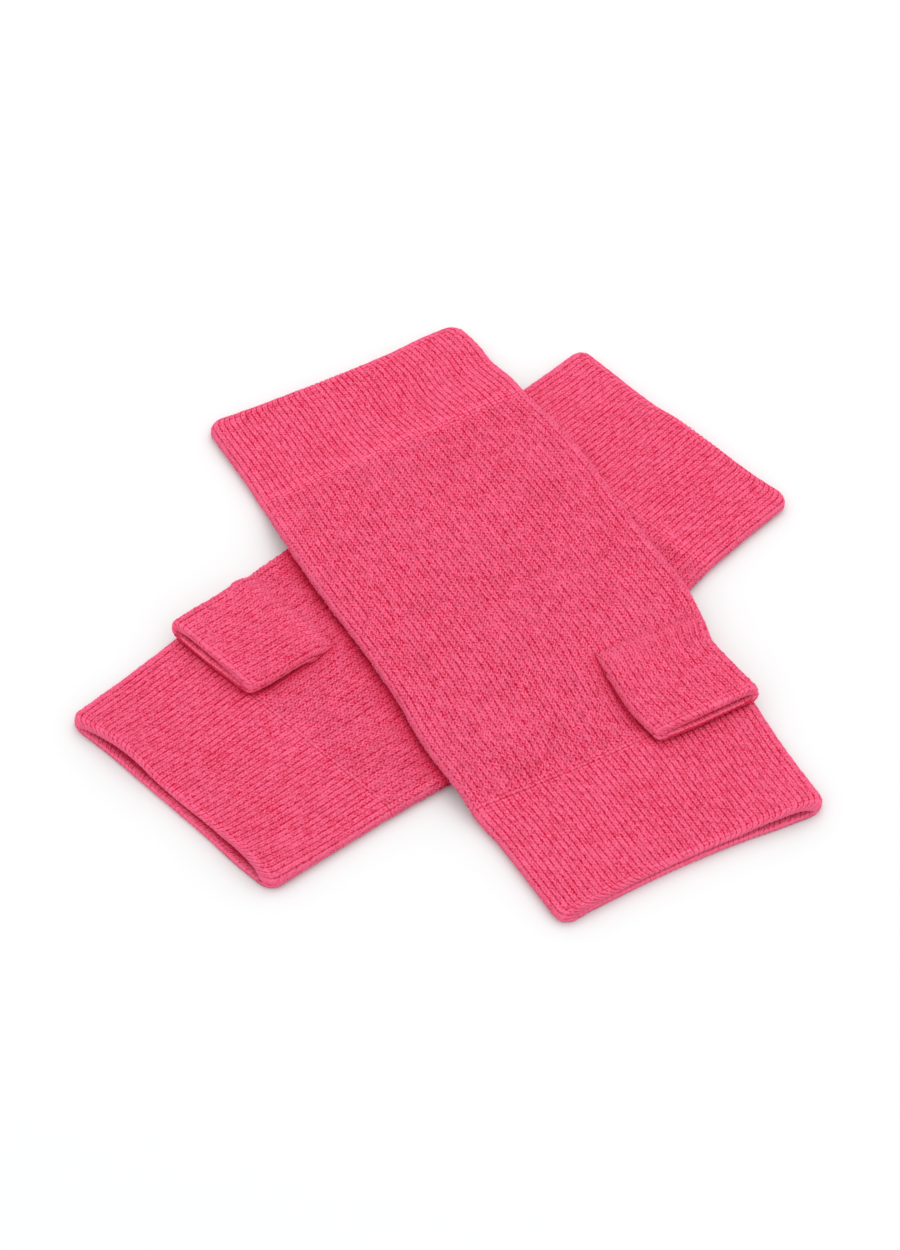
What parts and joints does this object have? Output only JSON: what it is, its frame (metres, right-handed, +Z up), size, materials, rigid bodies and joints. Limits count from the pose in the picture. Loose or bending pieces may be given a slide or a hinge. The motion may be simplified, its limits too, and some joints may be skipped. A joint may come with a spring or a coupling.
{
  "type": "pair of knitted wrist warmers",
  "caption": "Fingerless knitted wrist warmers with thumb tubes and ribbed ends, a mirror-image pair laid flat and crossed to rest on a surface.",
  "frame": {"origin": "on the surface that the pair lies on, under the middle of its bounding box", "axes": "+Z up off the surface, +Y away from the picture's camera, +X to its right"},
  "size_m": [0.2252, 0.2374, 0.0127],
  "materials": {
    "plain_knit": "fine plain knit in soft wool, matt with a short nap",
    "rib_knit": "fine ribbed knit in soft wool, matt with a short nap"
  },
  "bodies": {
    "root": {"upper_body": "plain_knit", "upper_wrist_rib": "rib_knit", "upper_hand_rib": "rib_knit", "upper_thumb": "rib_knit", "lower_body": "plain_knit", "lower_wrist_rib": "rib_knit", "lower_hand_rib": "rib_knit", "lower_thumb": "rib_knit"}
  },
  "joints": []
}
